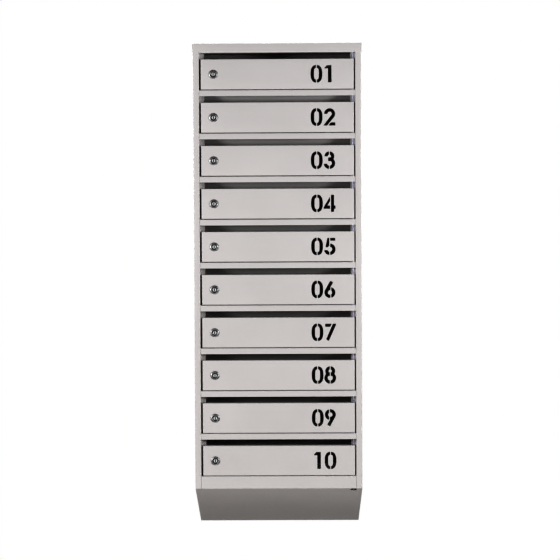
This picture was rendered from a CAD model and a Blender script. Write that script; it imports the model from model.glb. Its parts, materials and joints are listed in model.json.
"""Looks for a wall-hung bank of letterboxes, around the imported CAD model.

Metres, with the front facing -Y.
"""
import json
import math

import bmesh
import bpy
from mathutils import Matrix, Vector


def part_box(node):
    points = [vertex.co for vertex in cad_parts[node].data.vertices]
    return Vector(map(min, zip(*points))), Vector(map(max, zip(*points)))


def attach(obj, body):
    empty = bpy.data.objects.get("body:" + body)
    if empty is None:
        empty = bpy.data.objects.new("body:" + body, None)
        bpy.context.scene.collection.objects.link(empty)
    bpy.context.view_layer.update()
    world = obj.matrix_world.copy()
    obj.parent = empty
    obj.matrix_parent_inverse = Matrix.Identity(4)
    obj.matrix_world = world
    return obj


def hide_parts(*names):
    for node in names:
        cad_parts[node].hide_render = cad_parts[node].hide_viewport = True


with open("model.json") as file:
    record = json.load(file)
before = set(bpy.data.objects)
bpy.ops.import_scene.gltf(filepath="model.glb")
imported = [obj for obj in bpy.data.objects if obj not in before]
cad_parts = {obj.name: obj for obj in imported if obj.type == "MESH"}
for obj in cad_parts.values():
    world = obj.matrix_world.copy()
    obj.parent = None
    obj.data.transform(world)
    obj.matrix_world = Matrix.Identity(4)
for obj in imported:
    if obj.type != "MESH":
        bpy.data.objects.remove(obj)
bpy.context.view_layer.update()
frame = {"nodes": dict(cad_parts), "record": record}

MM = 0.001
nodes = frame["nodes"]
scene = bpy.context.scene

# ---- Places taken from the frame ----

lid_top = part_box("top_lid")[1].z
door_nodes = sorted(n for n in nodes if n.startswith("door_"))
labels = [n.split("_")[1] for n in door_nodes]
front_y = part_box(door_nodes[0])[0].y
underside_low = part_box("back_panel")[0].z


# ---- Camera ----

EYE_DISTANCE = 3.172     # from the front face
EYE_BELOW_LID = 0.4557
EYE_RIGHT = 0.0299
FOCAL = 87.64            # mm
SENSOR = 36              # mm
PITCH_DOWN = math.radians(1.677)
YAW_LEFT = math.radians(0.453)
ROLL = math.radians(-0.279)


def add_camera():
    data = bpy.data.cameras.new("camera")
    data.lens = FOCAL
    data.sensor_width = SENSOR
    camera = bpy.data.objects.new("camera", data)
    scene.collection.objects.link(camera)
    turn = (
        Matrix.Rotation(YAW_LEFT, 4, "Z")
        @ Matrix.Rotation(math.pi / 2 - PITCH_DOWN, 4, "X")
        @ Matrix.Rotation(ROLL, 4, "Z")
    )
    eye = Vector((EYE_RIGHT, front_y - EYE_DISTANCE, lid_top - EYE_BELOW_LID))
    camera.matrix_world = Matrix.Translation(eye) @ turn
    scene.camera = camera


# ---- Materials ----

class Shader:
    """A principled material and short ways to add nodes to it. Noise scales are per metre."""

    def __init__(self, name, color, metallic, roughness):
        self.material = bpy.data.materials.new(name)
        self.material.use_nodes = True
        self.tree = self.material.node_tree
        self.bsdf = self.tree.nodes["Principled BSDF"]
        self.bsdf.inputs["Base Color"].default_value = (*color, 1)
        self.bsdf.inputs["Metallic"].default_value = metallic
        self.bsdf.inputs["Roughness"].default_value = roughness
        self.coords = self.tree.nodes.new("ShaderNodeTexCoord").outputs["Object"]

    def link(self, source, target):
        self.tree.links.new(source, target)

    def noise(self, scale, detail=2.0, rough=0.5, stretch=(1, 1, 1)):
        mapping = self.tree.nodes.new("ShaderNodeMapping")
        mapping.inputs["Scale"].default_value = stretch
        self.link(self.coords, mapping.inputs["Vector"])
        node = self.tree.nodes.new("ShaderNodeTexNoise")
        node.inputs["Scale"].default_value = scale
        node.inputs["Detail"].default_value = detail
        node.inputs["Roughness"].default_value = rough
        self.link(mapping.outputs["Vector"], node.inputs["Vector"])
        return node.outputs["Fac"]

    def ramp(self, value, low, high, low_at=0.3, high_at=0.7):
        node = self.tree.nodes.new("ShaderNodeMapRange")
        node.inputs["From Min"].default_value = low_at
        node.inputs["From Max"].default_value = high_at
        node.inputs["To Min"].default_value = low
        node.inputs["To Max"].default_value = high
        self.link(value, node.inputs["Value"])
        return node.outputs["Result"]

    def blend(self, factor, first, second):
        node = self.tree.nodes.new("ShaderNodeMix")
        node.data_type = "RGBA"
        node.inputs[6].default_value = (*first, 1)
        node.inputs[7].default_value = (*second, 1)
        self.link(factor, node.inputs[0])
        return node.outputs[2]

    def bump(self, height, strength, distance):
        node = self.tree.nodes.new("ShaderNodeBump")
        node.inputs["Strength"].default_value = strength
        node.inputs["Distance"].default_value = distance
        self.link(height, node.inputs["Height"])
        old = self.bsdf.inputs["Normal"].links
        if old:
            self.link(old[0].from_socket, node.inputs["Normal"])
        self.link(node.outputs["Normal"], self.bsdf.inputs["Normal"])


def powder_coat():
    """Warm light grey powder coat: orange peel, a fine grain and faint unevenness of tone."""
    s = Shader("powder_coat", (0.5, 0.486, 0.483), 0, 0.45)
    tone = s.ramp(s.noise(7, 3), 0, 1)
    color = s.blend(tone, (0.490, 0.477, 0.474), (0.510, 0.496, 0.493))
    s.link(color, s.bsdf.inputs["Base Color"])
    s.link(s.ramp(s.noise(260, 3), 0.40, 0.52), s.bsdf.inputs["Roughness"])
    s.bump(s.noise(420, 1.5), 0.10, 0.3 * MM)
    s.bump(s.noise(2600, 2), 0.12, 0.05 * MM)
    return s.material


def zinc_plate():
    """Zinc plate with a blue tint, faintly streaked along one direction."""
    s = Shader("zinc_plate", (0.30, 0.30, 0.36), 0.7, 0.5)
    tone = s.ramp(s.noise(120, 3), 0, 1)
    color = s.blend(tone, (0.27, 0.27, 0.33), (0.32, 0.32, 0.38))
    s.link(color, s.bsdf.inputs["Base Color"])
    drawn = s.noise(900, 2, stretch=(1, 1, 0.05))
    s.link(s.ramp(drawn, 0.46, 0.56), s.bsdf.inputs["Roughness"])
    s.bump(s.noise(1500, 2, stretch=(1, 1, 0.04)), 0.06, 0.03 * MM)
    return s.material


def lock_chrome():
    """Satin chrome with faint polishing marks."""
    s = Shader("lock_chrome", (0.34, 0.345, 0.35), 1, 0.48)
    s.link(s.ramp(s.noise(1200, 3), 0.44, 0.52), s.bsdf.inputs["Roughness"])
    s.bump(s.noise(3000, 2), 0.05, 0.02 * MM)
    return s.material


def lock_plug():
    """Dull nickel of the plug, with faint marks."""
    s = Shader("lock_plug", (0.6, 0.6, 0.6), 0.3, 0.5)
    tone = s.ramp(s.noise(900, 3), 0, 1)
    color = s.blend(tone, (0.56, 0.56, 0.56), (0.64, 0.64, 0.64))
    s.link(color, s.bsdf.inputs["Base Color"])
    s.link(s.ramp(s.noise(2200, 2), 0.44, 0.56), s.bsdf.inputs["Roughness"])
    return s.material


def lock_dark():
    """Blackened keyway, and the groove between the plug's core and the face ring."""
    s = Shader("lock_dark", (0.012, 0.012, 0.013), 0, 0.5)
    s.link(s.ramp(s.noise(1500, 2), 0.4, 0.6), s.bsdf.inputs["Roughness"])
    return s.material


MATERIALS = {
    "powder_coat": powder_coat(),
    "zinc_plate": zinc_plate(),
    "lock_chrome": lock_chrome(),
    "lock_plug": lock_plug(),
}
DARK = lock_dark()


# ---- CAD nodes: cleaned shading, softened edges and their materials ----

EDGE = 0.12 * MM
WELD = 0.002 * MM
FOLD_ANGLE = math.radians(32)


def finish_node(node, material, segments):
    """Gives a CAD node its material, joins its split corners and softens its sharp edges."""
    mesh = node.data
    mesh.materials.clear()
    mesh.materials.append(material)
    if "custom_normal" in mesh.attributes:
        mesh.attributes.remove(mesh.attributes["custom_normal"])
    for polygon in mesh.polygons:
        polygon.use_smooth = True
    weld = node.modifiers.new("weld", "WELD")
    weld.merge_threshold = WELD
    bevel = node.modifiers.new("bevel", "BEVEL")
    bevel.width = EDGE
    bevel.segments = segments
    bevel.limit_method = "ANGLE"
    bevel.angle_limit = FOLD_ANGLE
    bevel.harden_normals = True
    bevel.use_clamp_overlap = True


slots = {row["node"]: row["material_slot"] for row in frame["record"]["subparts"]}
for name, node in nodes.items():
    # On the bottom panel a second segment throws one vertex out of a narrow corner
    finish_node(node, MATERIALS[slots[name]], 1 if name == "bottom_panel" else 2)


# ---- Turned and stamped pieces ----

SMOOTH_ANGLE = math.radians(35)


def lofted(name, profile, angles, skins, ends="capped"):
    """Mesh through rings about the Y axis.

    A ring is (radius in mm, or a function of the angle; depth in mm). skins gives each run
    between two rings its material. Ends are capped, or the last ring joins the first.
    """
    bm = bmesh.new()
    rings = []
    for radius, depth in profile:
        reach = [radius(a) if callable(radius) else radius for a in angles]
        rings.append([
            bm.verts.new((r * MM * math.cos(a), depth * MM, r * MM * math.sin(a)))
            for r, a in zip(reach, angles)
        ])
    runs = list(zip(rings, rings[1:]))
    if ends == "joined":
        runs.append((rings[-1], rings[0]))
    materials = list(dict.fromkeys(skins))
    for run, (first, second) in enumerate(runs):
        skin = materials.index(skins[min(run, len(skins) - 1)])
        for k in range(len(angles)):
            n = (k + 1) % len(angles)
            face = bm.faces.new((first[k], first[n], second[n], second[k]))
            face.material_index = skin
    if ends == "capped":
        bm.faces.new(rings[0]).material_index = materials.index(skins[0])
        bm.faces.new(rings[-1]).material_index = materials.index(skins[-1])
    bmesh.ops.recalc_face_normals(bm, faces=bm.faces)
    mesh = bpy.data.meshes.new(name)
    bm.to_mesh(mesh)
    bm.free()
    for material in materials:
        mesh.materials.append(material)
    mesh.polygons.foreach_set("use_smooth", [True] * len(mesh.polygons))
    mesh.set_sharp_from_angle(angle=SMOOTH_ANGLE)
    return mesh


def round_angles(count, extra=()):
    """Evenly spaced angles with some exact ones added."""
    even = [2 * math.pi * k / count for k in range(count)]
    return sorted(even + [a % (2 * math.pi) for a in extra])


def rectangle(width, height):
    """Radius of a rectangle's edge, seen from its middle."""
    def radius(a):
        c, s = abs(math.cos(a)) + 1e-9, abs(math.sin(a)) + 1e-9
        return min(width / 2 / c, height / 2 / s)
    return radius


def corners(width, height):
    """Angles of a rectangle's corners, seen from its middle."""
    a = math.atan2(height, width)
    return [a, math.pi - a, math.pi + a, -a]


def cross(length, width):
    """Radius of the edge of a cross recess."""
    flat, tall = rectangle(length, width), rectangle(width, length)
    return lambda a: max(flat(a), tall(a))


def hexagon(across_flats, limit=math.inf):
    """Radius of a hexagon's edge, no further out than a limit."""
    def radius(a):
        turn = (a + math.pi / 6) % (math.pi / 3) - math.pi / 6
        return min(across_flats / 2 / math.cos(turn), limit)
    return radius


def cam_outline(hub, half_width, reach, inset=0.0):
    """Radius of the cam's edge: a round hub and an arm with a round end that hangs down."""
    def radius(a):
        c, s = -math.sin(a), abs(math.cos(a))
        best = hub
        middle = reach - half_width
        if c > 0:
            side = half_width / (s + 1e-9)
            if side * c > middle:
                side = middle * c + math.sqrt(max(half_width ** 2 - (middle * s) ** 2, 0))
            best = max(best, side)
        return best - inset
    return radius


ZINC = MATERIALS["zinc_plate"]
CHROME = MATERIALS["lock_chrome"]
PLUG = MATERIALS["lock_plug"]

# From here to cam_screw() lengths are mm, and depths are measured back from the front face
lock_low, lock_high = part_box("lock_01")
plug_low, plug_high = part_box("lock_plug_01")
cam_low, cam_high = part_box("lock_cam_01")
FACE_R = (lock_high.z - lock_low.z) / 2 / MM
FACE_H = (front_y - lock_low.y) / MM
BARREL_L = (lock_high.y - front_y) / MM
PLUG_R = (plug_high.z - plug_low.z) / 2 / MM
PLUG_FACE = (plug_low.y - front_y) / MM
TAIL_END = (plug_high.y - front_y) / MM
CAM_FRONT = (cam_low.y - front_y) / MM
CAM_BACK = (cam_high.y - front_y) / MM
CAM_REACH = (lock_low.z + FACE_R * MM - cam_low.z) / MM
BARREL_R = 8.0
RING_LAND = 1.1          # flat rim between the bore and the dome
RING_EDGE = 0.25         # straight edge of the ring against the door
THREAD_DEPTH = 0.5
THREAD_START = 0.6
NUT_AF = 20.0            # across flats
NUT_T = 3.5
NUT_BORE_GAP = 0.05
NUT_CHAMFER = 0.4        # of the bore
NUT_CORNER = 0.9         # taken off each corner
NUT_BEVEL = 0.5          # depth of the taken-off corners
SHEET = 1.0
PLUG_GAP = 0.08
CORE_R = 4.3
CORE_BEVEL = 0.3
GROOVE_DEPTH = 1.0
KEYWAY = (1.4, 6.6)
KEYWAY_DEPTH = 7
MOUTH_SPREAD = 0.5
MOUTH_DEPTH = 0.25
TAIL_W = 7.0
TAIL_TIP_W = 6.6
TAIL_BEVEL = 0.3
CAM_T = 1.6
CAM_W = 15.0
CAM_EDGE = (0.25, 0.07)  # the rounded edge: its reach, and how far in it is still curved
HEAD_R = 5.6
HEAD_EDGE = 0.2
RECESS = (6.2, 1.1)
RECESS_DEPTH = 1.2
RECESS_RIM = 4.2


def lock_housing():
    """Domed face ring, threaded barrel and the step between them."""
    bore = PLUG_R + PLUG_GAP
    crest = bore + RING_LAND
    root = BARREL_R - THREAD_DEPTH
    dome = [
        (crest + (FACE_R - crest) * math.sin(a), -RING_EDGE - (FACE_H - RING_EDGE) * math.cos(a))
        for a in [math.radians(9 * k) for k in range(11)]
    ]
    lip = [(bore, -FACE_H + 1.0), (bore + 0.25, -FACE_H + 0.45), (bore + 0.6, -FACE_H + 0.12)]
    thread = []
    turns = int(BARREL_L - 1.5)
    for k in range(turns):
        thread += [(root, THREAD_START + k), (BARREL_R, THREAD_START + 0.5 + k)]
    end = [(root, BARREL_L - 0.5), (root - 0.4, BARREL_L), (bore, BARREL_L)]
    profile = lip + dome + [(FACE_R, 0), (root, 0)] + thread + end
    return lofted("lock_housing", profile, round_angles(72), [CHROME], "joined")


def lock_nut():
    """Hexagon nut with chamfered corners, tight behind the door."""
    corner = NUT_AF / 2 / math.cos(math.pi / 6)
    chamfer = hexagon(NUT_AF, corner - NUT_CORNER)
    flats = hexagon(NUT_AF)
    bore = BARREL_R + NUT_BORE_GAP
    back = SHEET + NUT_T
    profile = [
        (bore, SHEET + NUT_CHAMFER), (bore + NUT_CHAMFER, SHEET), (chamfer, SHEET),
        (flats, SHEET + NUT_BEVEL), (flats, back - NUT_BEVEL),
        (chamfer, back), (bore + NUT_CHAMFER, back), (bore, back - NUT_CHAMFER),
    ]
    edges = [math.pi / 6 + math.pi / 3 * k for k in range(6)]
    return lofted("lock_nut", profile, round_angles(96, edges), [ZINC], "joined")


def plug():
    """Plug: keyway, raised middle, dark groove, barrel and square tail."""
    slot = rectangle(*KEYWAY)
    mouth = rectangle(KEYWAY[0] + MOUTH_SPREAD, KEYWAY[1] + MOUTH_SPREAD)
    tail = rectangle(TAIL_W, TAIL_W)
    tip = rectangle(TAIL_TIP_W, TAIL_TIP_W)
    groove = PLUG_FACE + GROOVE_DEPTH
    profile = [
        (slot, PLUG_FACE + KEYWAY_DEPTH), (slot, PLUG_FACE + MOUTH_DEPTH), (mouth, PLUG_FACE),
        (CORE_R - CORE_BEVEL, PLUG_FACE), (CORE_R, PLUG_FACE + CORE_BEVEL), (CORE_R, groove),
        (PLUG_R, groove), (PLUG_R, BARREL_L),
        (tail, BARREL_L), (tail, TAIL_END - TAIL_BEVEL), (tip, TAIL_END),
    ]
    angles = round_angles(72, corners(*KEYWAY) + corners(1, 1))
    skins = [DARK, DARK, PLUG, PLUG, PLUG, DARK, PLUG, PLUG, ZINC, ZINC]
    return lofted("plug", profile, angles, skins)


def cam():
    """Stamped cam with softened edges and a square hole."""
    edge, curve = CAM_EDGE
    full, curved, inner = [
        cam_outline(CAM_W / 2, CAM_W * 0.4, CAM_REACH, inset) for inset in (0, curve, edge)
    ]
    hole = rectangle(TAIL_W + 0.1, TAIL_W + 0.1)
    back = CAM_FRONT + CAM_T
    profile = [
        (hole, CAM_FRONT), (inner, CAM_FRONT), (curved, CAM_FRONT + curve),
        (full, CAM_FRONT + edge), (full, back - edge),
        (curved, back - curve), (inner, back), (hole, back),
    ]
    return lofted("cam", profile, round_angles(240, corners(1, 1)), [ZINC], "joined")


def cam_screw():
    """Pan-head screw with a cross recess."""
    recess = cross(*RECESS)
    base = CAM_FRONT + CAM_T + 0.05
    dome = [
        (HEAD_R * math.sin(a), base + (CAM_BACK - base) * (0.35 + 0.65 * math.cos(a)))
        for a in [math.radians(8 * k) for k in range(7, 12)]
    ]
    profile = [
        (recess, CAM_BACK - RECESS_DEPTH), (recess, CAM_BACK - 0.02), (RECESS_RIM, CAM_BACK),
    ]
    profile += dome + [(HEAD_R, base + HEAD_EDGE), (HEAD_R - HEAD_EDGE, base)]
    arm = math.atan2(RECESS[1], RECESS[0])
    inner = [math.pi / 4 * k for k in (1, 3, 5, 7)]
    extra = [q * math.pi / 2 + s * arm for q in range(4) for s in (-1, 1)] + inner
    return lofted("cam_screw", profile, round_angles(72, extra), [ZINC])


def place(name, mesh, spot, body, stands_for=None, turn=None):
    """Adds one piece at a spot in the frame, riding on a body."""
    piece = bpy.data.objects.new(name, mesh)
    scene.collection.objects.link(piece)
    piece.location = spot
    if turn:
        piece.rotation_euler = turn
    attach(piece, body)
    if stands_for:
        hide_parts(stands_for)


def add_locks():
    """Puts the same five pieces on every door's lock."""
    housing, nut, screw = lock_housing(), lock_nut(), cam_screw()
    plug_mesh, cam_mesh = plug(), cam()
    for label in labels:
        low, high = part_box(f"lock_{label}")
        spot = Vector(((low.x + high.x) / 2, front_y, (low.z + high.z) / 2))
        leaf, core = f"door_leaf_{label}", f"lock_core_{label}"
        place(f"lock_housing_{label}", housing, spot, leaf, f"lock_{label}")
        place(f"lock_nut_{label}", nut, spot, leaf)
        place(
            f"lock_core_plug_{label}", plug_mesh, spot, core, f"lock_plug_{label}"
        )
        place(f"lock_arm_{label}", cam_mesh, spot, core, f"lock_cam_{label}")
        place(f"lock_screw_{label}", screw, spot, core)


def add_rod():
    """Hinge rod with chamfered ends."""
    low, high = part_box("hinge_rod")
    r = (high.x - low.x) / 2 / MM
    length = (high.z - low.z) / MM
    bevel = 0.5
    profile = [(r - bevel, 0), (r, bevel), (r, length - bevel), (r - bevel, length)]
    mesh = lofted("rod", profile, round_angles(40), [ZINC])
    spot = Vector(((low.x + high.x) / 2, (low.y + high.y) / 2, low.z))
    place("rod", mesh, spot, "cabinet", "hinge_rod", (math.pi / 2, 0, 0))


add_locks()
add_rod()


# ---- Stage: floor, world and lights ----

FLOOR_DROP = 1.6         # below the lowest point of the object
FLOOR_RADIUS = 2.2
FLOOR_GREY = (0.62, 0.62, 0.62)
GLOW_COLOR = (1.0, 0.97, 0.95)
GLOW = 0.38              # stands for lamps above, which would also light the front
AMBIENT = 0.01
KEY_Z = 0.25
KEY_ANGLE = math.radians(52)
KEY_DISTANCE = 2.5
KEY_SIZE = (0.6, 0.6)
KEY_POWER = 68
FILL_AHEAD = 1.3         # of the front face
FILL_DROP = 1.2          # below the lowest point of the object
FILL_TARGET_Z = -0.3
FILL_SIZE = (2.2, 0.8)
FILL_POWER = 13.5
FILL_COLOR = (1.0, 0.962, 0.938)
BACK_SPOT = (2.2, 1.9, 0.5)
BACK_SIZE = (0.8, 0.8)
BACK_POWER = 5
TOP_SPOT = (0, 0.7, 2.3)
TOP_SIZE = (0.8, 0.6)
TOP_POWER = 3
NARROW = math.radians(40)  # spread that keeps the back and top lamps off the floor
GAMMA = 0.525


def add_floor():
    bpy.ops.mesh.primitive_circle_add(
        vertices=128, radius=FLOOR_RADIUS, fill_type="NGON",
        location=(0, front_y / 2, underside_low - FLOOR_DROP),
    )
    floor = bpy.context.object
    floor.name = "floor"
    s = Shader("floor", FLOOR_GREY, 0, 0.7)
    s.link(s.ramp(s.noise(4, 3), 0.65, 0.75), s.bsdf.inputs["Roughness"])
    s.bsdf.inputs["Emission Color"].default_value = (*GLOW_COLOR, 1)
    s.bsdf.inputs["Emission Strength"].default_value = GLOW
    floor.data.materials.append(s.material)


def add_world():
    """White behind the object, and a dim even light from all round."""
    world = bpy.data.worlds.new("world")
    scene.world = world
    world.use_nodes = True
    tree = world.node_tree
    back = tree.nodes["Background"]
    back.inputs["Color"].default_value = (1, 1, 1, 1)
    back.inputs["Strength"].default_value = 1
    dim = tree.nodes.new("ShaderNodeBackground")
    dim.inputs["Color"].default_value = (1, 1, 1, 1)
    dim.inputs["Strength"].default_value = AMBIENT
    rays = tree.nodes.new("ShaderNodeLightPath")
    mix = tree.nodes.new("ShaderNodeMixShader")
    tree.links.new(rays.outputs["Is Camera Ray"], mix.inputs[0])
    tree.links.new(dim.outputs[0], mix.inputs[1])
    tree.links.new(back.outputs[0], mix.inputs[2])
    tree.links.new(mix.outputs[0], tree.nodes["World Output"].inputs[0])


def add_light(name, spot, target, size, power, spread=math.pi, color=(1, 1, 1)):
    """Soft rectangular lamp, aimed at a point; the camera doesn't see the lamp itself."""
    data = bpy.data.lights.new(name, "AREA")
    data.shape = "RECTANGLE"
    data.size, data.size_y = size
    data.energy = power
    data.spread = spread
    data.color = color
    lamp = bpy.data.objects.new(name, data)
    scene.collection.objects.link(lamp)
    lamp.location = spot
    aim = (Vector(target) - Vector(spot)).to_track_quat("-Z", "Y")
    lamp.rotation_euler = aim.to_euler()
    lamp.visible_camera = False


def add_lights():
    """Two main lamps in front, a fill from below, and weak lamps behind and above."""
    front = (0, front_y, KEY_Z)
    middle = front_y / 2
    for side in (-1, 1):
        x = side * KEY_DISTANCE * math.sin(KEY_ANGLE)
        y = front_y - KEY_DISTANCE * math.cos(KEY_ANGLE)
        add_light(f"front_{side}", (x, y, KEY_Z), front, KEY_SIZE, KEY_POWER)
    add_light(
        "fill", (0, front_y - FILL_AHEAD, underside_low - FILL_DROP),
        (0, front_y, FILL_TARGET_Z), FILL_SIZE, FILL_POWER, color=FILL_COLOR,
    )
    for side in (-1, 1):
        x, y, z = BACK_SPOT
        add_light(
            f"back_{side}", (side * x, y, z), (0, middle, 0), BACK_SIZE, BACK_POWER, NARROW
        )
    add_light("top", TOP_SPOT, (0, middle, lid_top), TOP_SIZE, TOP_POWER, NARROW)


scene.view_settings.view_transform = "Standard"
scene.view_settings.gamma = GAMMA
add_camera()
add_world()
add_floor()
add_lights()
